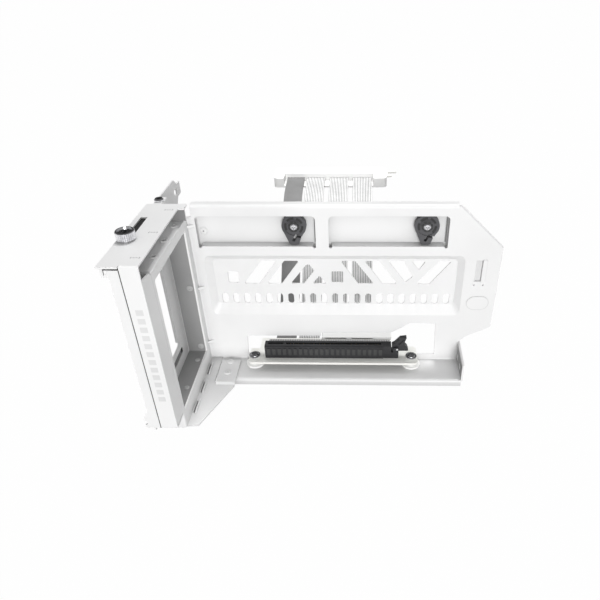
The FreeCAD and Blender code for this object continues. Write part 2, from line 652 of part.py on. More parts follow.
pad(body, "frame_fold", "XY", [[
    (-S.sheet, corner), (0, corner), (0, 0), (3, 0), (3, S.sheet), (-S.sheet, S.sheet),
]], 1, S.frame_tall)
round_bends(body, "frame_fold_outside", "Z", [(-S.sheet, S.sheet)], outer_bend)
round_bends(body, "frame_fold_inside", "Z", [(0, 0)], S.bend_in)
pocket(body, "end_holes", "YZ", [("circle", (y, 5.4), 1.3) for y in (-4.4, -15.6)],
       S.end_flange_x - 1, S.end_flange_x + S.sheet + 1)
for side, start in (("left", S.left_window_start),
                    ("right", S.left_window_start + S.window_step)):
    pad(body, side + "_flap", "XY", [
        box(start + 2, 0, start + S.window_width - 2, S.web_depth - 0.6),
    ], S.window_bottom - S.sheet, S.window_bottom)

# Pressed pan: sloped walls around a floor set back from the face
pan_outer = ("rounded", (S.pan_left, S.pan_low), (S.pan_right, S.pan_high), S.pan_corner)
pan_inner = ("rounded", (S.pan_left + S.pan_slope, S.pan_low + S.pan_foot),
             (S.pan_right - S.pan_slope, S.pan_high - S.pan_slope), S.pan_corner - 1.5)
loft(body, "pan_back", "XZ", (pan_outer, S.sheet), (pan_inner, S.sheet + S.pan_depth))
loft(body, "pan_hollow", "XZ", (pan_outer, 0), (pan_inner, S.pan_depth), cut=True)

# Slanted vents, a row of short slots, the riser opening and the strap slot
low, high = 65.4, 84.2


def in_pan(x, z):
    """A point of the vents, given for the drawn pan and kept in proportion to it."""
    wide = S.pan_right - S.pan_left
    tall = S.pan_high - (S.pan_low + 3)
    return S.pan_left + wide * ((x - 7) / 180.9), S.pan_low + 3 + tall * ((z - 44) / 46.3)


vents = [
    box(21, 66.1, 28.5, 75.4),
    [(31.9, low), (43.1, low), (56.8, high), (45.9, high)],
    [(48.7, low), (59.3, low), (72.6, high), (62.1, high)],
    [(65.5, low), (75.2, low), (83.1, 76.2), (79.6, 81.2), (77.6, 81.2)],
    [(81.2, low), (91.8, low), (86.5, 72.2)],
    box(95, 66.4, 103.4, 75.7),
    [(114, low), (125.5, low), (111.9, high), (101.6, high)],
    [(131.5, low), (142, low), (128.6, high), (118.3, high)],
    [(147.7, 66.6), (152.7, 71.6), (146, high), (134.9, high)],
    [(151.2, high), (156.8, 76.7), (161.3, high)],
    [(155.6, low), (165.2, low), (179.3, high), (171, high), (158.4, 69.6)],
]
pan_floor_front = S.pan_depth - 0.5
pan_floor_back = S.pan_depth + S.sheet + 0.5
vents = [[in_pan(x, z) for x, z in loop] for loop in vents]
pocket(body, "vents", "XZ", vents, pan_floor_front, pan_floor_back)
vent_corner = (S.pan_high - S.pan_low - 3) / 46.3 * 0.9
round_bends(body, "vent_corners", "Y", [point for loop in vents for point in loop], vent_corner)
short_slot = pocket(body, "short_slot", "XZ", [
    ("obround", in_pan(16.8, 50.6), in_pan(16.8, 55), S.slot_row_width / 2),
], pan_floor_front, pan_floor_back)
doc.recompute()
repeat(body, "short_slots", [short_slot], "X_Axis", (S.pan_right - S.pan_left) * 0.04455,
       int(float(S.slot_row_count)) - 1)
pocket(body, "riser_opening", "XZ", [[
    (30.3, 21.5), (86.2, 21.9), (86.7, 24.8), (139, 25.1), (146.3, 29.4), (152.7, 34),
    (S.shelf_right - 18.6, 33.6), (S.shelf_right - 17.4, 4.8), (29.5, 4.2),
]], -0.5, S.sheet + 0.5)
ear = S.plate_right
strap_low = S.chamfer_z - 26.9
strap_high = S.chamfer_z - 10
pad(body, "strap_louver", "XY", [[
    (ear - 17.6, S.sheet - 0.1), (ear - 16.6, S.sheet + 0.1), (ear - 11.2, S.sheet + 3.2),
    (ear - 11.2, S.sheet - 0.1)]], strap_low - 1, strap_high + 1)
pocket(body, "strap_slot", "XY", [[
    (ear - 16.8, -0.5), (ear - 12.2, -0.5), (ear - 12.2, 3.3), (ear - 16.8, 0.5)]],
    strap_low, strap_high)
pad(body, "strap_bridge", "XZ", [box(ear - 12, strap_low - 0.6, ear - 9.4, strap_high + 0.4)],
    -0.5, 0.2)
pocket(body, "strap_dots", "XZ", [
    ("circle", (x, strap_low - 2.9), 0.6) for x in (ear - 16.5, ear - 10.1)],
    -0.5, S.sheet + 0.5)
pad(body, "oval_boss", "XZ", [("obround", (ear - 14.4, 52), (ear - 9.9, 52), 5.65)], -0.35, 0.2)
pocket(body, "corner_reliefs", "XZ", [
    ("circle", (x, S.window_bottom - 0.2), 1.1)
    for x in (S.left_window_start + 1, S.left_window_start + S.window_width - 1,
              S.left_window_start + S.window_step + 1,
              S.left_window_start + S.window_step + S.window_width - 1)], -0.5, S.sheet + 0.3)
pocket(body, "tab_holes", "XY", [("circle", (16.3, y), 1.5) for y in (-6.5, -19.2)],
       -S.sheet - 0.5, 0.5)
pocket(body, "riser_holes", "XY", [
    ("circle", (x, S.board_screw_y), 1.5) for x in (S.left_screw_x, S.right_screw_x)],
    -S.sheet - 0.5, 0.5)
rivet_spot = (S.left_window_start + 3, S.window_bottom + 8.5)
pocket(body, "channel_bores", "XZ", [
    ("circle", (x, S.clip_z), S.clip_shank_r) for x in (S.clip_left_x, S.clip_right_x)
] + [("circle", rivet_spot, 1.5)], S.web_depth - 0.5, S.web_depth + S.sheet + 0.5)
dart = pad(body, "fold_dart", "XY", [[
    (-0.5, 0.4), (-0.5, corner), (-0.02, corner), (4.4, -0.02), (4.4, 0.4)]], 15.4, 17.2)
doc.recompute()
repeat(body, "fold_darts", [dart], "Z_Axis", (S.frame_tall - 22.7) / 2, 3)

rivet("window_rivet", (rivet_spot[0], S.web_depth, rivet_spot[1]), "-Y", 2.5, grip=1.2)

# Riser board on two standoffs, held by two screws
board_under = S.board_top - S.board_thick
body = new_body("riser_board")
pad(body, "board", "XY", [[
    (S.board_left, S.board_front), (S.board_right, S.board_front), (S.board_right, 3.4),
    (157, 5.7), (S.board_inner_right, 5.7), (S.board_inner_right, S.board_back),
    (S.board_inner_left, S.board_back), (S.board_inner_left, 2.5), (S.board_left, 2.5),
]], board_under, S.board_top)
pocket(body, "screw_bores", "XY", [
    ("circle", (x, S.board_screw_y), S.board_screw_r + 0.1)
    for x in (S.left_screw_x, S.right_screw_x)], board_under - 1, S.board_top + 1)
round_bends(body, "front_corners", "Z", [
    (S.board_left, S.board_front), (S.board_right, S.board_front)], 3)

fold_side = -S.board_screw_y - S.bend_in - 0.1
for side, x in (("left", S.left_screw_x), ("right", S.right_screw_x)):
    body = new_body("standoff_" + side, (x, S.board_screw_y, 0))
    revolve(body, "turned", [
        (S.board_screw_r + 0.1, 0), (S.standoff_r + 2.6, 0), (S.standoff_r + 2.6, 1.4),
        (S.standoff_r, 2), (S.standoff_r, board_under), (S.board_screw_r + 0.1, board_under)])
    pocket(body, "flat_beside_fold", "XY", [
        box(-S.standoff_r - 3, fold_side, S.standoff_r + 3, fold_side + 5)], -0.1, 1.9)
    body = new_body("board_screw_" + side, (x, S.board_screw_y, S.board_top))
    revolve(body, "turned", [
        (0, -8.2), (S.board_screw_r - 0.3, -8.2), (S.board_screw_r, -7.9), (S.board_screw_r, 0),
        (S.board_head_r, 0), (S.board_head_r, 0.7), (3.2, 0.8), (3.1, 1.5), (2.4, 2), (0, 2.2)])
    pocket(body, "recess", "XY", [cross(2.2, 0.45)], 0.9, 2.6)

# Slot connector with ribbed front, card slot with key, and latch housing
conn_right = S.conn_left + S.conn_length
conn_back = S.conn_front + S.conn_width
conn_top = S.board_top + S.conn_tall
conn_mid = S.conn_front + S.conn_width / 2
housing_top = S.latch_pin_z - 2.6
body = new_body("slot_connector")
pad(body, "block", "YZ", [[
    (S.conn_front, S.board_top), (conn_back, S.board_top), (conn_back, conn_top - 0.8),
    (conn_back - 0.8, conn_top), (S.conn_front + 0.8, conn_top),
    (S.conn_front, conn_top - 0.8),
]], S.conn_left, conn_right)
rib = pad(body, "rib", "XZ", [
    box(S.conn_left + 2, S.board_top + 3, S.conn_left + 3.4, conn_top - 2),
], S.conn_front - 0.4, S.conn_front + 0.2)
doc.recompute()
repeat(body, "ribs", [rib], "X_Axis", S.rib_pitch, int(float(S.rib_count)))
pocket(body, "card_slot", "XY", [
    box(S.conn_left + 2.2, conn_mid - S.card_slot_width / 2, S.conn_left + 13.9,
        conn_mid + S.card_slot_width / 2),
    box(S.conn_left + 15.7, conn_mid - S.card_slot_width / 2, conn_right - 1.6,
        conn_mid + S.card_slot_width / 2),
], conn_top - S.card_slot_deep, conn_top + 0.5)
pad(body, "latch_tower", "XY", [
    box(conn_right - 1, S.conn_front + 0.5, S.latch_pin_x - 4.4, conn_back - 0.5),
], S.board_top, conn_top - 0.2)
pad(body, "latch_housing", "XY", [
    box(conn_right - 1, S.conn_front + 0.5, S.latch_end, conn_back - 0.5),
], S.board_top, housing_top)
cheek_gap = S.latch_thick / 2 + 0.25
for side, y0 in (("front", conn_mid - cheek_gap - 1), ("rear", conn_mid + cheek_gap)):
    pad(body, side + "_cheek", "XZ", [[
        (S.latch_pin_x - 3, housing_top - 0.5), (S.latch_end, housing_top - 0.5),
        (S.latch_end, S.latch_pin_z + 1), (S.latch_pin_x, S.latch_pin_z + 1.9),
        (S.latch_pin_x - 3, S.latch_pin_z + 1)]], y0, y0 + 1)
pocket(body, "pin_bores", "XZ", [
    ("circle", (S.latch_pin_x, S.latch_pin_z), S.latch_pin_r),
], conn_mid - cheek_gap - 2, conn_mid + cheek_gap + 2)

# Contacts along both walls of the card slot
for side, sign in (("front", -1), ("rear", 1)):
    body = new_body("contact_row_" + side)
    outer = conn_mid + S.card_slot_width / 2 * sign
    inner_y = conn_mid + (S.card_slot_width / 2 - 0.35) * sign
    low_y, high_y = (outer, inner_y) if sign < 0 else (inner_y, outer)
    floor_z = conn_top - S.card_slot_deep
    pad(body, "strip", "XY", [box(S.conn_left + 16.5, low_y, conn_right - 2.4, high_y)],
        floor_z, floor_z + 1.2)
    tooth = pad(body, "tooth", "XY", [
        box(S.conn_left + 16.7, low_y, S.conn_left + 17.5, high_y)], floor_z + 1, conn_top - 1)
    doc.recompute()
    repeat(body, "teeth", [tooth], "X_Axis", 2, 35)

# Latch lever at the connector's end, turning on its pin
body = new_body("latch_lever", (S.latch_pin_x, conn_mid, S.latch_pin_z))
pad(body, "lever", "XZ", [
    [(-3.6, -2), (-3.9, 3.1), (-1.8, 4.6), (2.1, 9.2), (6.7, 9.9), (5.6, 6.3), (5.2, 3.9),
     (7.4, 1.6), (8.4, -0.9), (8.1, -1.9), (4.6, -1.9), (1, -2.1)],
    ("circle", (0, 0), S.latch_pin_r + S.run_fit),
], -S.latch_thick / 2, S.latch_thick / 2)
pocket(body, "finger_groove", "XZ", [[(0.6, 4.4), (1.8, 3.9), (5.3, 8.3), (3.2, 8.2)]],
       -S.latch_thick / 2 - 0.1, -S.latch_thick / 2 + 0.6)
body = new_body("latch_pin", (S.latch_pin_x, conn_mid - cheek_gap - 1, S.latch_pin_z), "-Y")
pad(body, "pin", "XY", [("circle", (0, 0), S.latch_pin_r)], -2 * cheek_gap - 2, 0)

# Hook clips in the two windows, each on a spacer and a screw
clip_back = S.clip_front + S.clip_thick
for side, x in (("left", S.clip_left_x), ("right", S.clip_right_x)):
    body = new_body("clip_" + side, (x, S.clip_front, S.clip_z))
    pad(body, "disc", "XZ", [("circle", (0, 0), S.clip_r)], 0, S.clip_thick)
    pad(body, "hook", "XZ", [[
        (-8.1, -1.8), (-3.4, -13.2), (2.8, -13.2), (4.4, -8.7), (8, -2.2), (0, 0)]],
        0, S.clip_thick)
    pad(body, "hub", "XZ", [("circle", (0, 0), 4.05)], -0.7, 1)
    pocket(body, "ring_groove", "XZ", [("circle", (0, 0), 6.7), ("circle", (0, 0), 4.7)], 0, 0.6)
    pocket(body, "mouth", "XZ", [[
        (4.9, -8.9), (1.6, -8.1), (-0.2, -11.4), (-1.9, -10.5), (0.6, -6.2), (5.9, -7.5),
    ]], -1, S.clip_thick + 1)
    pocket(body, "bore", "XZ", [("circle", (0, 0), S.clip_shank_r + S.run_fit)],
           -2, S.clip_thick + 1)
    round_bends(body, "hook_corners", "Y", [(-3.4, -13.2), (2.8, -13.2)], 1)
    body = new_body("clip_spacer_" + side, (x, S.web_depth, S.clip_z), "-Y")
    revolve(body, "turned", [
        (S.clip_shank_r, 0), (3.6, 0), (3.6, S.web_depth - clip_back - 0.05),
        (S.clip_shank_r, S.web_depth - clip_back - 0.05)])
    body = new_body("clip_screw_" + side, (x, S.clip_front - 0.75, S.clip_z), "-Y")
    revolve(body, "turned", [
        (0, -8), (S.clip_shank_r, -8), (S.clip_shank_r, 0), (2.4, 0), (2.4, 0.5), (1.8, 1.1),
        (0, 1.3)])
    pocket(body, "recess", "XY", [cross(1.3, 0.3)], 0.3, 1.5)

# Plug head at the far end of the ribbons: moulded body and edge board
head_low = S.head_z - S.head_tall / 2
head_high = S.head_z + S.head_tall / 2
end_bar = 9
body = new_body("plug_housing")
pad(body, "block", "XY", [
    box(S.head_left, S.head_front, S.head_right, S.head_back)], head_low, head_high)
round_bends(body, "corners", "Z", [
    (S.head_left, S.head_front), (S.head_left, S.head_back), (S.head_right, S.head_front),
    (S.head_right, S.head_back)], 4)
pocket(body, "ribbon_recess", "XY", [
    box(S.head_left + end_bar, S.head_front - 1, S.head_right - end_bar - 3, S.head_step),
], S.head_z - 2.6, head_high + 1)
pocket(body, "board_seat", "XY", [
    box(S.finger_left - 2, S.head_step + 4, S.finger_left + S.finger_length + 2, S.head_back + 1),
], S.head_z - 0.8, S.head_z + 0.8)
body = new_body("plug_board")
key = S.finger_left + 12.9
tip = S.head_back + S.finger_reach
pad(body, "board", "XY", [[
    (S.finger_left - 2, S.head_step + 4), (S.finger_left + S.finger_length + 2, S.head_step + 4),
    (S.finger_left + S.finger_length + 2, S.head_back - 1),
    (S.finger_left + S.finger_length, S.head_back - 1), (S.finger_left + S.finger_length, tip),
    (key + 0.95, tip), (key + 0.95, S.head_back + 0.5), (key - 0.95, S.head_back + 0.5),
    (key - 0.95, tip), (S.finger_left, tip), (S.finger_left, S.head_back - 1),
    (S.finger_left - 2, S.head_back - 1),
]], S.head_z - 0.8, S.head_z + 0.8)
body = new_body("plug_hook")
pad(body, "prong", "XY", [[
    (S.head_right - 1, S.head_front + 11), (S.head_right + 4.8, S.head_front + 11.6),
    (S.head_right + 4.8, S.head_front + 14.6), (S.head_right + 1.4, S.head_front + 15.2),
    (S.head_right + 1.4, S.head_front + 21.4), (S.head_right + 9.5, S.head_front + 21.8),
    (S.head_right + 9.5, S.head_front + 24.6), (S.head_right - 1, S.head_front + 25.4),
]], S.head_z + 0.9, S.head_z + 2.4)
pocket(NODES[-3], "hook_seat", "XY", [
    box(S.head_right - 1, S.head_front + 10.95, S.head_right + 2, S.head_front + 25.45)],
    S.head_z + 0.9, S.head_z + 2.4)

# Four flat ribbons: straight runs joined by tangent arcs, in planes of constant X
ROUTE = [(15.5, 6.6), (38, 8.5), (68, 36), (94, 70), (113, 86), (130, 89.6), (148, 91)]
ROUTE[0] = (float(S.board_back), float(S.board_top - S.board_thick / 2))
ROUTE[-1] = (float(S.head_step), float(S.head_z))
RIBBONS = [(49.4, 65.2), (67.3, 83.8), (88.4, 105), (109.1, 126.1)]


def route_edges(points):
    """Straight runs and tangent arcs through the route, with the radii used."""
    flat = [FreeCAD.Vector(0, y, z) for y, z in points]
    edges = []
    radii = []
    last = flat[0]
    for a, b, c in zip(flat, flat[1:], flat[2:]):
        one = b - a
        two = c - b
        turn = one.getAngle(two)
        reach = 0.45 * min(one.Length, two.Length)
        radius = reach / math.tan(turn / 2)
        start = b - one.normalize() * reach
        end = b + two.normalize() * reach
        middle_dir = (start + end) * 0.5 - b
        sag = radius / math.cos(turn / 2) - radius
        middle = b + middle_dir.normalize() * sag
        edges.append(Part.LineSegment(last, start).toShape())
        edges.append(Part.Arc(start, middle, end).toShape())
        radii.append(radius)
        last = end
    edges.append(Part.LineSegment(last, flat[-1]).toShape())
    return edges, radii


thick = float(S.ribbon_thick)
for number, (left, right) in enumerate(RIBBONS, 1):
    edges, radii = route_edges(ROUTE)
    path = Part.Wire(edges)
    start = FreeCAD.Vector(0, *ROUTE[0])
    heading = path.Edges[0].tangentAt(path.Edges[0].FirstParameter)
    up = FreeCAD.Vector(1, 0, 0).cross(heading) * (thick / 2)
    across = FreeCAD.Vector(right - left, 0, 0)
    corners = [start - up, start + up, start + up + across, start - up + across]
    section = Part.makePolygon(corners + corners[:1])
    solid = path.makePipeShell([section], True, True)
    piece = doc.addObject("Part::Feature", "ribbon_%d" % number)
    piece.Label = "ribbon_%d" % number
    piece.Shape = solid
    piece.Placement = FreeCAD.Placement(FreeCAD.Vector(
        left - float(wall_outer), -float(S.origin_y), -float(S.origin_z)), FreeCAD.Rotation())
    NODES.append(piece)
    expected = (right - left) * thick * path.Length
    print("ribbon", number, "length %.1f" % path.Length, "volume ratio %.4f"
          % (piece.Shape.Volume / expected), "radii", [round(r, 1) for r in radii])

doc.recompute()

# Every feature and every piece is checked before anything is written
for item in doc.Objects:
    if "Invalid" in item.State or "Error" in item.State:
        raise ValueError("failed feature: %s %s" % (item.Name, item.State))
    if item.TypeId in ("PartDesign::Pocket", "PartDesign::Groove", "PartDesign::SubtractiveLoft"):
        before = item.BaseFeature.Shape.Volume
        if item.Shape.Volume > before - 1e-4:
            raise ValueError("cut removes nothing: " + item.Name)
for node in NODES:
    shape = node.Shape
    if shape.isNull() or not shape.isValid() or shape.Volume < 0.01:
        raise ValueError("bad piece: " + node.Label)
    solids = len(shape.Solids)
    if solids != 1:
        print("piece with", solids, "solids:", node.Label)
for node in NODES:
    node.Shape.exportStep(os.path.join("parts", node.Label + ".step"))
print("pieces", len(NODES))
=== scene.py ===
import math

import bmesh
import bpy
from mathutils import Matrix, Vector


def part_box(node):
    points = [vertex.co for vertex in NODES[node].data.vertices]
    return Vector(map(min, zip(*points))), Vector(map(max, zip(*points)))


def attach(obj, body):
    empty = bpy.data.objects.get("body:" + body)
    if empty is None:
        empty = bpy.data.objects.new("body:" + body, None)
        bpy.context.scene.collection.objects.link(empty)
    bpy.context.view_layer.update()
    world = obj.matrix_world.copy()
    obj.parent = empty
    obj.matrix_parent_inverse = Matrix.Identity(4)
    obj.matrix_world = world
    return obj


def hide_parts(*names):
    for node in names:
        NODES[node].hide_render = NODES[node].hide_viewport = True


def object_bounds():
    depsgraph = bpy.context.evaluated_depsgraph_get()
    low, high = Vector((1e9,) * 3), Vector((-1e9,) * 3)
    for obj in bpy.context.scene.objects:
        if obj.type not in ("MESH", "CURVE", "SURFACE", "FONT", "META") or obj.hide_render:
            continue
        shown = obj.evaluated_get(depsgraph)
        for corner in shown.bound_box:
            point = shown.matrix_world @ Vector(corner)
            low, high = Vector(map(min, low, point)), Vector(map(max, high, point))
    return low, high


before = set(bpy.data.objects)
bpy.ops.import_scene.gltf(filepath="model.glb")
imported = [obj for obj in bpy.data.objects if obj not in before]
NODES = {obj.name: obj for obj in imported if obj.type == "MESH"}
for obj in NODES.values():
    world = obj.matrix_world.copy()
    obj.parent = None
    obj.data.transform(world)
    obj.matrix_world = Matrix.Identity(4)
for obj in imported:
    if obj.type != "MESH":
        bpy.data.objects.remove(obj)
cad_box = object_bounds()

# Working frame of the source, in millimetres: X = 0 window face, Y = 0 plate face, Z = 0 shelf
SHIFT = (15.8, 8.0, -70.0)
MM = 1000


def at(x, y, z):
    """A point of the working frame, in metres in the row's frame."""
    return Vector(((x + SHIFT[0]) / MM, (y + SHIFT[1]) / MM, (z + SHIFT[2]) / MM))


def put(name, data):
    """A new object in the scene."""
    obj = bpy.data.objects.new(name, data)
    bpy.context.collection.objects.link(obj)
    return obj


# Camera fitted to the photograph: its axes and its place in the working frame, and in pixels the
# picture's side, the focal length and the point on the camera's axis
RIGHT = Vector((0.99964746, 0.02418029, -0.01096662))
DOWN = Vector((0.00408826, -0.54829494, -0.83627504))
AHEAD = Vector((-0.02623431, 0.83593539, -0.5482005))
EYE = (113.376, -328.0, 268.502)
PICTURE = 600
FOCAL = 541.6346
AXIS_U, AXIS_V = 342.7801, 300.8318
SENSOR = 36

camera_data = bpy.data.cameras.new("camera")
camera_data.lens = FOCAL / PICTURE * SENSOR
camera_data.sensor_width = SENSOR
camera_data.shift_x = (PICTURE / 2 - AXIS_U) / PICTURE
camera_data.shift_y = (AXIS_V - PICTURE / 2) / PICTURE
camera_data.clip_start = 0.01
camera = put("camera", camera_data)
turn = Matrix((RIGHT, -DOWN, -AHEAD)).transposed().to_4x4()
camera.matrix_world = Matrix.Translation(at(*EYE)) @ turn
bpy.context.scene.camera = camera


# Materials. Noise runs from NOISE_LOW to NOISE_HIGH for the most part
NOISE_LOW, NOISE_HIGH = 0.3, 0.7
DRIFT_START, DRIFT_END = 0.35, 0.65
GLOSS_SWING = 0.06
GRAIN_STRENGTH = 0.25
GRAIN_HEIGHT = 0.00004


def shader_of(mat):
    return next(n for n in mat.node_tree.nodes if n.type == "BSDF_PRINCIPLED")


def new_material(name):
    mat = bpy.data.materials.new(name)
    mat.use_nodes = True
    return mat, mat.node_tree, shader_of(mat)


def noise(tree, scale, detail):
    """A noise texture on object coordinates, scale in features per metre."""
    where = tree.nodes.new("ShaderNodeTexCoord")
    tex = tree.nodes.new("ShaderNodeTexNoise")
    tex.inputs["Scale"].default_value = scale
    tex.inputs["Detail"].default_value = detail
    tree.links.new(where.outputs["Object"], tex.inputs["Vector"])
    return tex.outputs["Fac"]


def ramp(tree, value, low, high):
    """Maps a noise value to a range of colours."""
    node = tree.nodes.new("ShaderNodeValToRGB")
    start, end = node.color_ramp.elements
    start.position = DRIFT_START
    end.position = DRIFT_END
    start.color = (*low, 1)
    end.color = (*high, 1)
    tree.links.new(value, node.inputs["Fac"])
    return node.outputs["Color"]


def map_range(tree, value, from_min, from_max, to_min, to_max):
    """Maps a value from one range of numbers to another."""
    node = tree.nodes.new("ShaderNodeMapRange")
    node.inputs["From Min"].default_value = from_min
    node.inputs["From Max"].default_value = from_max
    node.inputs["To Min"].default_value = to_min
    node.inputs["To Max"].default_value = to_max
    tree.links.new(value, node.inputs["Value"])
    return node.outputs["Result"]


def surface(name, dark, light, rough, metal=0.0, cloud=18, grain=900):
    """A finish with a slow colour drift, uneven gloss and a fine surface grain."""
    mat, tree, shader = new_material(name)
    drift = noise(tree, cloud, 3.0)
    tree.links.new(ramp(tree, drift, dark, light), shader.inputs["Base Color"])
    fine = noise(tree, grain, 2.0)
    gloss = map_range(tree, fine, NOISE_LOW, NOISE_HIGH, rough - GLOSS_SWING, rough + GLOSS_SWING)
    tree.links.new(gloss, shader.inputs["Roughness"])
    shader.inputs["Metallic"].default_value = metal
    relief = tree.nodes.new("ShaderNodeBump")
    relief.inputs["Strength"].default_value = GRAIN_STRENGTH
    relief.inputs["Distance"].default_value = GRAIN_HEIGHT
    tree.links.new(fine, relief.inputs["Height"])
    tree.links.new(relief.outputs["Normal"], shader.inputs["Normal"])
    return mat


def grey(name, dark, light, rough, **rest):
    """A surface without hue, between two grey levels."""
    return surface(name, (dark,) * 3, (light,) * 3, rough, **rest)


def paint_corner_shade(mat, reach, least):
    """Painted shade in a finish's folds and corners, as far as reach, down to the least share."""
    tree = mat.node_tree
    base = shader_of(mat).inputs["Base Color"]
    light = base.links[0].from_socket
    nearby = tree.nodes.new("ShaderNodeAmbientOcclusion")
    nearby.samples = 6
    nearby.inputs["Distance"].default_value = reach
    share = map_range(tree, nearby.outputs["AO"], 0.3, 0.9, least, 1.0)
    scale = tree.nodes.new("ShaderNodeVectorMath")
    scale.operation = "SCALE"
    tree.links.new(light, scale.inputs[0])
    tree.links.new(share, scale.inputs["Scale"])
    tree.links.new(scale.outputs[0], base)


def plated_painted_reflection(name, top, side, rough):
    """Bright metal, its upward faces painted with the reflection of a dark studio ceiling."""
    bright = tuple(min(1, c * 1.15) for c in side)
    mat = surface(name, side, bright, rough, metal=1.0, cloud=300)
    tree = mat.node_tree
    base = shader_of(mat).inputs["Base Color"]
    light = base.links[0].from_socket
    facing = tree.nodes.new("ShaderNodeNewGeometry")
    parts = tree.nodes.new("ShaderNodeSeparateXYZ")
    tree.links.new(facing.outputs["True Normal"], parts.inputs[0])
    reflection_share = map_range(tree, parts.outputs["Z"], 0.45, 0.8, 0.0, 1.0)
    mix = tree.nodes.new("ShaderNodeMix")
    mix.data_type = "RGBA"
    sockets = [s for s in mix.inputs if s.type == "RGBA"]
    sockets[1].default_value = (*top, 1)
    tree.links.new(reflection_share, mix.inputs["Factor"])
    tree.links.new(light, sockets[0])
    result = [s for s in mix.outputs if s.type == "RGBA"][0]
    tree.links.new(result, base)
    return mat


powder = grey("powder_white", 0.87, 0.91, 0.42, grain=1400)
# Painted shade: the white powder darkens in its folds and corners
paint_corner_shade(powder, 0.011, 0.66)
liner_grey = grey("liner_grey", 0.28, 0.33, 0.45, grain=1400)
# Dark for the clips' notches, and painted shade in the gap beside the front strip and at the
# bead's end
notch_and_shade_dark = grey("notch_and_shade_dark", 0.015, 0.03, 0.7)
# Painted shade in the bead, at the card frame's flange and at the windows' right ends
shade_grey = grey("shade_grey", 0.2, 0.26, 0.6)
# Painted shade on the end flange's inner face
end_shade_grey = grey("end_shade_grey", 0.3, 0.36, 0.6)
mark_grey = grey("mark_grey", 0.3, 0.38, 0.6)
# Grey for plain slots and the rivet's ring, and painted shade in the strap slot, on the chamfer
# and round the oval
slot_and_shade_grey = grey("slot_and_shade_grey", 0.72, 0.77, 0.5)
# Painted highlight on the fronts of the connector's ribs
rib_highlight_grey = grey("rib_highlight_grey", 0.035, 0.055, 0.5)
# Painted shade: the glide pad's black stands for the shade in the cover's slot
slot_shade_black = grey("slot_shade_black", 0.008, 0.014, 0.8)
steel = surface("plated_steel", (0.55, 0.55, 0.56), (0.72, 0.72, 0.73), 0.34,
                metal=0.9, cloud=220)
# Painted reflection: chrome and screw heads are darker on their upward faces
chrome = plated_painted_reflection("chrome", (0.03, 0.03, 0.032), (0.72, 0.72, 0.74), 0.2)
screw_look = plated_painted_reflection("screw_bright", (0.25, 0.25, 0.26), (0.62, 0.62, 0.64), 0.16)
clip_plastic = surface("clip_plastic", (0.045, 0.045, 0.05), (0.075, 0.075, 0.08), 0.5)
black_plastic = surface("black_plastic", (0.012, 0.012, 0.014), (0.03, 0.03, 0.033), 0.42)
gold = surface("contact_gold", (0.66, 0.5, 0.2), (0.85, 0.68, 0.32), 0.25,
               metal=1.0, cloud=400)
rivet_white = grey("rivet_white", 0.82, 0.88, 0.35)
pad_grey = grey("pad_grey", 0.22, 0.28, 0.5)
band_grey = grey("band_grey", 0.42, 0.48, 0.5)
rivet_grey = grey("rivet_grey", 0.42, 0.5, 0.4)
cream = surface("board_white", (0.92, 0.92, 0.88), (0.96, 0.96, 0.92), 0.5)
head_white = surface("head_white", (0.93, 0.93, 0.92), (0.96, 0.96, 0.95), 0.5)
ribbon_dark = grey("ribbon_grey", 0.2, 0.23, 0.55, cloud=60)
ribbon_light = grey("ribbon_white", 0.74, 0.82, 0.5, cloud=120)
# Painted shade in the grooves between the ribbons' wires
ribbon_groove = grey("ribbon_groove", 0.16, 0.22, 0.6, cloud=120)

LOOKS = {
    powder: ("slot_bracket", "cover_bracket", "card_frame", "main_plate"),
    liner_grey: ("tunnel_liner",),
    steel: ("latch_pin",),
    rivet_white: ("tab_rivet_front", "tab_rivet_rear", "window_rivet"),
    rivet_grey: ("liner_rivet_front", "liner_rivet_rear", "liner_wall_rivet_high",
                 "liner_wall_rivet_low"),
    chrome: ("thumb_knob", "thumb_stem", "rear_screw"),
    screw_look: ("board_screw_left", "board_screw_right", "clip_screw_left",
                 "clip_screw_right"),
    head_white: ("plug_housing", "standoff_left", "standoff_right"),
    clip_plastic: ("clip_left", "clip_right", "clip_spacer_left", "clip_spacer_right"),
    black_plastic: ("slot_connector", "latch_lever"),
    slot_shade_black: ("glide_pad",),
    gold: ("contact_row_front", "contact_row_rear", "plug_board"),
    cream: ("riser_board", "plug_hook"),
    ribbon_light: ("ribbon_2", "ribbon_3", "ribbon_4"),
    ribbon_dark: ("ribbon_1",),
}
for look, names in LOOKS.items():
    for name in names:
        node = NODES[name]
        if not node.material_slots:
            node.data.materials.append(look)
        for material_slot in node.material_slots:
            material_slot.material = look


def new_mesh(name, verts, faces, look, smooth):
    data = bpy.data.meshes.new(name)
    data.from_pydata([tuple(v) for v in verts], [], faces)
    data.materials.append(look)
    for face in data.polygons:
        face.use_smooth = smooth
    return put(name, data)


# Ribbons: a row of round wires in one flat jacket, along the same route as in the source
ROUTE = [(15.5, 6.6), (38, 8.5), (68, 36), (94, 70), (113, 86), (130, 89.6), (148, 91)]
RIBBON_EDGES = [(49.4, 65.2), (67.3, 83.8), (88.4, 105), (109.1, 126.1)]
WIRES = 12
WIRE_STEPS = 6
THICKNESS = 0.001
GROOVE_SHARE, SWELL_SHARE = 0.3, 0.2
SIDEWAYS = Vector((1, 0, 0))


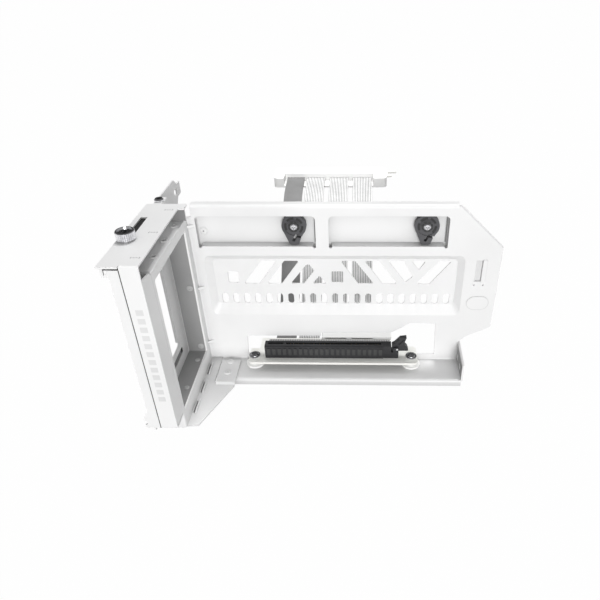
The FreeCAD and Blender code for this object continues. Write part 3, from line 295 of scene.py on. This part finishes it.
def spline_points(points):
    """Points along the smooth spline through the route."""
    data = bpy.data.curves.new("route", "CURVE")
    data.dimensions = "3D"
    data.resolution_u = 10
    spline = data.splines.new("NURBS")
    spline.points.add(len(points) - 1)
    for target, point in zip(spline.points, points):
        target.co = (*point, 1)
    spline.order_u = 3
    spline.use_endpoint_u = True
    holder = put("route", data)
    graph = bpy.context.evaluated_depsgraph_get()
    mesh = bpy.data.meshes.new_from_object(holder.evaluated_get(graph))
    found = [v.co.copy() for v in mesh.vertices]
    bpy.data.meshes.remove(mesh)
    bpy.data.objects.remove(holder)
    bpy.data.curves.remove(data)
    return found


def ribbon_section(width):
    """Offsets across the width and along the thickness, round wires side by side."""
    count = WIRES * WIRE_STEPS
    top = []
    for i in range(count + 1):
        swell = abs(math.sin(math.pi * i / WIRE_STEPS))
        top.append((width * i / count, THICKNESS * (GROOVE_SHARE + SWELL_SHARE * swell)))
    return top + [(x, -h) for x, h in reversed(top)]


def sweep(path, section, width):
    """The section along the path: the faces of its bands, then the two ends."""
    size = len(section)
    last = len(path) - 1
    verts = []
    for i, point in enumerate(path):
        ahead = path[min(i + 1, last)] - path[max(i - 1, 0)]
        normal = SIDEWAYS.cross(ahead).normalized()
        start = point - SIDEWAYS * (width / 2)
        verts += [start + SIDEWAYS * x + normal * h for x, h in section]
    faces = []
    for i in range(last):
        for j in range(size):
            k = (j + 1) % size
            faces.append((i * size + j, i * size + k, (i + 1) * size + k, (i + 1) * size + j))
    faces.append(tuple(range(size))[::-1])
    faces.append(tuple(last * size + j for j in range(size)))
    return verts, faces


def in_groove(face, size):
    """Whether a band's face lies between two wires."""
    across = face % size
    step = across if across < size // 2 else size - 2 - across
    return step % WIRE_STEPS in (0, WIRE_STEPS - 1)


for number, (left, right) in enumerate(RIBBON_EDGES, 1):
    width = (right - left) / MM
    path = spline_points([at((left + right) / 2, y, z) for y, z in ROUTE])
    section = ribbon_section(width)
    verts, faces = sweep(path, section, width)
    look = ribbon_dark if number == 1 else ribbon_light
    ribbon = new_mesh("flat_ribbon_%d" % number, verts, faces, look, smooth=True)
    # Painted shade: the grooves between the wires of the light ribbons are darker
    if number > 1:
        ribbon.data.materials.append(ribbon_groove)
        for face in range(len(faces) - 2):
            if in_groove(face, len(section)):
                ribbon.data.polygons[face].material_index = 1
    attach(ribbon, "sliding_frame")
    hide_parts("ribbon_%d" % number)

# Small marks, caps and painted shade. Outlines are in the working frame, in millimetres. ORDER
# gives the places of x, y and z in (u, v, level), by the axis along which an outline is extruded
ORDER = {"X": (2, 0, 1), "Y": (0, 2, 1), "Z": (0, 1, 2)}


def plates(name, axis, outlines, levels, look, body="sliding_frame"):
    """Thin flat pieces in one object, each an outline extruded between two levels."""
    verts = []
    faces = []
    for outline in outlines:
        base = len(verts)
        count = len(outline)
        for level in levels:
            for u, v in outline:
                trio = (u, v, level)
                verts.append(at(*[trio[i] for i in ORDER[axis]]))
        faces.append(tuple(range(base, base + count)))
        faces.append(tuple(range(base + count, base + 2 * count)))
        for i in range(count):
            j = (i + 1) % count
            faces.append((base + i, base + j, base + count + j, base + count + i))
    obj = new_mesh(name, verts, faces, look, smooth=False)
    shape = bmesh.new()
    shape.from_mesh(obj.data)
    bmesh.ops.recalc_face_normals(shape, faces=shape.faces)
    shape.to_mesh(obj.data)
    shape.free()
    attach(obj, body)


def rect(u0, v0, u1, v1):
    return [(u0, v0), (u1, v0), (u1, v1), (u0, v1)]


def row(outline, step_u, step_v, count):
    """Copies of an outline, each one step further."""
    return [[(u + step_u * i, v + step_v * i) for u, v in outline] for i in range(count)]


def dash(points, width):
    """A thin line through points, as an outline."""
    left = []
    right = []
    for i, (u, v) in enumerate(points):
        before = points[max(i - 1, 0)]
        after = points[min(i + 1, len(points) - 1)]
        du, dv = after[0] - before[0], after[1] - before[1]
        size = math.hypot(du, dv)
        du, dv = du / size * width / 2, dv / size * width / 2
        left.append((u - dv, v + du))
        right.append((u + dv, v - du))
    return left + right[::-1]


def arc(u, v, inner, outer, first, last, count=8):
    """A piece of a flat ring, from one angle to another in degrees."""
    turns = [math.radians(first + (last - first) * i / count) for i in range(count + 1)]
    out = [(u + outer * math.cos(a), v + outer * math.sin(a)) for a in turns]
    return out + [(u + inner * math.cos(a), v + inner * math.sin(a)) for a in turns[::-1]]


# Clips: dark scallops round the screw, and a dark track nearer the rim
CLIP_HEIGHT = 111.5
for side, x in (("left", 70.8), ("right", 160)):
    scallops = [arc(x, CLIP_HEIGHT, 2.6, 3.8, 45 * i + 3, 45 * i + 42) for i in range(8)]
    track = [arc(x, CLIP_HEIGHT, 5.0, 6.4, start, start + 50) for start in (-50, 20, 90, 160)]
    turning = "clip_%s_turning" % side
    plates("clip_ring_" + side, "Y", scallops, (1.22, 1.29), notch_and_shade_dark, turning)
    plates("clip_track_" + side, "Y", track, (2.35, 2.58), notch_and_shade_dark, turning)

# Tall plate: the strap slot's floor in grey, painted shade for the louver's sloping face, and
# painted shade along the plain oval's rim, a line of two half rings and two straights
plates("strap_shade_fill", "Y", [rect(195.6, 70.3, 199.8, 86.8)], (0.9, 1.0), slot_and_shade_grey)
OVAL_LEFT, OVAL_RIGHT, OVAL_HEIGHT = 197.8, 202.3, 52
OVAL_INNER, OVAL_OUTER = 5.35, 5.65
oval = [
    arc(OVAL_RIGHT, OVAL_HEIGHT, OVAL_INNER, OVAL_OUTER, -90, 90),
    arc(OVAL_LEFT, OVAL_HEIGHT, OVAL_INNER, OVAL_OUTER, 90, 270),
    rect(OVAL_LEFT, OVAL_HEIGHT - OVAL_OUTER, OVAL_RIGHT, OVAL_HEIGHT - OVAL_INNER),
    rect(OVAL_LEFT, OVAL_HEIGHT + OVAL_INNER, OVAL_RIGHT, OVAL_HEIGHT + OVAL_OUTER),
]
plates("oval_rim_shade", "Y", oval, (-0.42, -0.34), slot_and_shade_grey)

# The rivet in the left window: a dot on its middle and a ring on the wall round it
low_corner, high_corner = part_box("window_rivet")
rivet_x = (low_corner[0] + high_corner[0]) / 2 * MM - SHIFT[0]
rivet_z = (low_corner[2] + high_corner[2]) / 2 * MM - SHIFT[2]
rivet_y = low_corner[1] * MM - SHIFT[1]
plates("rivet_dot", "Y", [arc(rivet_x, rivet_z, 0.001, 0.6, 0, 360)],
       (rivet_y - 0.05, rivet_y + 0.3), mark_grey)
plates("rivet_ring", "Y", [arc(rivet_x, rivet_z, 2.5, 2.9, 0, 360, 24)], (6.9, 7), slot_and_shade_grey)

# Slot bracket: painted shade in the gap beside the front strip, and inside the bead and at its end
plates("front_gap_shade", "Y", [rect(-11.28, 13, -10.52, 128)], (-86.65, -86.3), notch_and_shade_dark,
       "case_bracket")
plates("bead_shade_fill", "X", [rect(-68, 19.6, -20, 23.4)], (-15.28, -15.0), shade_grey,
       "case_bracket")
plates("bead_end_shade", "X", [rect(-19.9, 19.8, -17, 23.2)], (-15.28, -14.9), notch_and_shade_dark,
       "case_bracket")

# Cover: three plain marks, each of two corners and two peaks
MARK_WIDTH = 0.4
CORNER = ((2.0, 0.8), (2.6, 0), (2.1, -0.8))
PEAK = ((1.3, -0.3), (0.8, 0.4), (0.3, -0.3))
marks = []
for x, y in ((-4.7, -77.4), (-4.8, -46.9), (-5, -15)):
    for hand in (-1, 1):
        for stroke in (CORNER, PEAK):
            marks.append(dash([(x + hand * du, y + dv) for du, dv in stroke], MARK_WIDTH))
plates("cover_marks", "Z", marks, (130.95, 131.04), mark_grey)

# Riser: a painted highlight on the caps of the connector's ribs, the bar over two ribbons' ends,
# the board's pads
plates("connector_cap_highlights", "Y", row(rect(45.9, 10.8, 48.3, 16.4), 4, 0, 22), (-9.78, -9.66),
       rib_highlight_grey)
plates("ribbon_bar", "Z", [rect(86, 14.8, 140.6, 22.8)], (8.4, 8.9), head_white)
plates("bar_edge", "Z", [rect(86, 22.8, 140.6, 23.1), rect(85.7, 14.8, 86, 23.1)],
       (8.4, 8.92), mark_grey)
plates("board_pads", "Z", row(rect(45, 8.4, 46.2, 13.9), 1.9, 0, 50), (7.5, 7.58), pad_grey)
plates("board_band", "Z", [rect(44, 8, 139.4, 14.1)], (7.48, 7.54), band_grey)

# Plain slots on the cover's strip, and the line along the plug head
plates("strip_slots", "Y", row(rect(-7.4, 36.4, -3.2, 40), 0, 5.8, 12), (-87.24, -87.15),
       slot_and_shade_grey)
plates("head_line", "Z", [rect(49, 158.7, 61.4, 159.3), rect(62.7, 158.7, 135.4, 159.3)],
       (95.15, 95.24), mark_grey)

# Painted shade: darker faces round the end flange's two holes, along the chamfer, at the card
# frame's flange and at the right ends of the two windows
FLANGE_LEFT, FLANGE_RIGHT = -23, -1.6
HOLE_LOW, HOLE_HIGH = 3.4, 7.4
plates("end_shade", "X", [
    [(FLANGE_RIGHT, 1.3), (FLANGE_RIGHT, HOLE_LOW), (FLANGE_LEFT, HOLE_LOW), (FLANGE_LEFT, 1.3)],
    rect(FLANGE_LEFT, HOLE_LOW, -18, HOLE_HIGH),
    rect(-13.2, HOLE_LOW, -6.8, HOLE_HIGH),
    rect(-2, HOLE_LOW, FLANGE_RIGHT, HOLE_HIGH),
    [(FLANGE_LEFT, HOLE_HIGH), (FLANGE_RIGHT, HOLE_HIGH), (FLANGE_RIGHT, 14.6),
     (FLANGE_LEFT, 11.5)],
], (189.9, 189.96), end_shade_grey)
plates("chamfer_shade", "Y", [dash([(180.6, 127.2), (211.9, 97.0)], 0.7)], (-0.05, 1.0),
       slot_and_shade_grey)
plates("flange_shade", "Y", [rect(-9.6, 119.6, 1.7, 129.6)], (-6.62, -6.42), shade_grey)
plates("window_end_shade", "Y", [rect(84.1, 97.8, 85, 119.2), rect(173.2, 97.8, 174.2, 119.2)],
       (6.7, 6.95), shade_grey)


def either_ray(tree, first, second):
    """1 for rays of either kind, else 0."""
    seen = tree.nodes.new("ShaderNodeLightPath")
    most = tree.nodes.new("ShaderNodeMath")
    most.operation = "MAXIMUM"
    tree.links.new(seen.outputs[first], most.inputs[0])
    tree.links.new(seen.outputs[second], most.inputs[1])
    return most.outputs[0]


def blend(tree, share, first, second):
    """A mix of two shaders, with the share of the second."""
    mix = tree.nodes.new("ShaderNodeMixShader")
    tree.links.new(share, mix.inputs["Fac"])
    tree.links.new(first, mix.inputs[1])
    tree.links.new(second, mix.inputs[2])
    return mix.outputs[0]


# Floor: a mid grey that looks nearly white to the camera and in reflections
FLOOR_REACH = 60
FLOOR_GREY = 0.3
FLOOR_ROUGHNESS = 0.9
FLOOR_WHITE_SHARE = 0.99

low = cad_box[0][2]
floor_mesh = bpy.data.meshes.new("floor")
floor_mesh.from_pydata([(-FLOOR_REACH, -FLOOR_REACH, low), (FLOOR_REACH, -FLOOR_REACH, low),
                        (FLOOR_REACH, FLOOR_REACH, low), (-FLOOR_REACH, FLOOR_REACH, low)],
                       [], [(0, 1, 2, 3)])
floor = put("floor", floor_mesh)
floor_look, tree, shader = new_material("floor_white")
shader.inputs["Base Color"].default_value = (FLOOR_GREY, FLOOR_GREY, FLOOR_GREY, 1)
shader.inputs["Roughness"].default_value = FLOOR_ROUGHNESS
glow = tree.nodes.new("ShaderNodeEmission")
glow.inputs["Strength"].default_value = 1.0
share = tree.nodes.new("ShaderNodeMath")
share.operation = "MULTIPLY"
share.inputs[1].default_value = FLOOR_WHITE_SHARE
tree.links.new(either_ray(tree, "Is Camera Ray", "Is Glossy Ray"), share.inputs[0])
out = next(n for n in tree.nodes if n.type == "OUTPUT_MATERIAL")
mixed = blend(tree, share.outputs[0], shader.outputs[0], glow.outputs[0])
tree.links.new(mixed, out.inputs["Surface"])
floor.data.materials.append(floor_look)

# World: white to the camera, and dim as a light
WORLD_SEEN = 1.0
WORLD_LIGHT = 0.36

world = bpy.data.worlds.new("studio")
bpy.context.scene.world = world
world.use_nodes = True
tree = world.node_tree
tree.nodes.clear()


def background(strength):
    node = tree.nodes.new("ShaderNodeBackground")
    node.inputs["Color"].default_value = (1, 1, 1, 1)
    node.inputs["Strength"].default_value = strength
    return node.outputs[0]


out = tree.nodes.new("ShaderNodeOutputWorld")
seen = either_ray(tree, "Is Camera Ray", "Is Transmission Ray")
mixed = blend(tree, seen, background(WORLD_LIGHT), background(WORLD_SEEN))
tree.links.new(mixed, out.inputs["Surface"])


# Lamps: places and targets in metres, power in watts
def lamp(name, kind, place, target, power):
    data = bpy.data.lights.new(name, kind)
    data.energy = power
    light = put(name, data)
    light.location = place
    light.rotation_euler = (Vector(target) - Vector(place)).to_track_quat("-Z", "Y").to_euler()
    return data


CENTRE = (0.11, 0.0, 0.0)
HEAD = (0.105, 0.15, 0.015)
SOFT_SIZE = 0.5
for name, place, power in (("front_soft", (0.3, -1.5, 0.22), 16),
                           ("top_soft", (0.2, 0.5, 1.35), 11.5)):
    data = lamp(name, "AREA", place, CENTRE, power)
    data.shape = "SQUARE"
    data.size = SOFT_SIZE

spot = lamp("head_spot", "SPOT", (0.11, -0.25, 0.55), HEAD, 11)
spot.spot_size = math.radians(17)
spot.spot_blend = 0.8
spot.shadow_soft_size = 0.03

bpy.context.scene.view_settings.view_transform = "Standard"
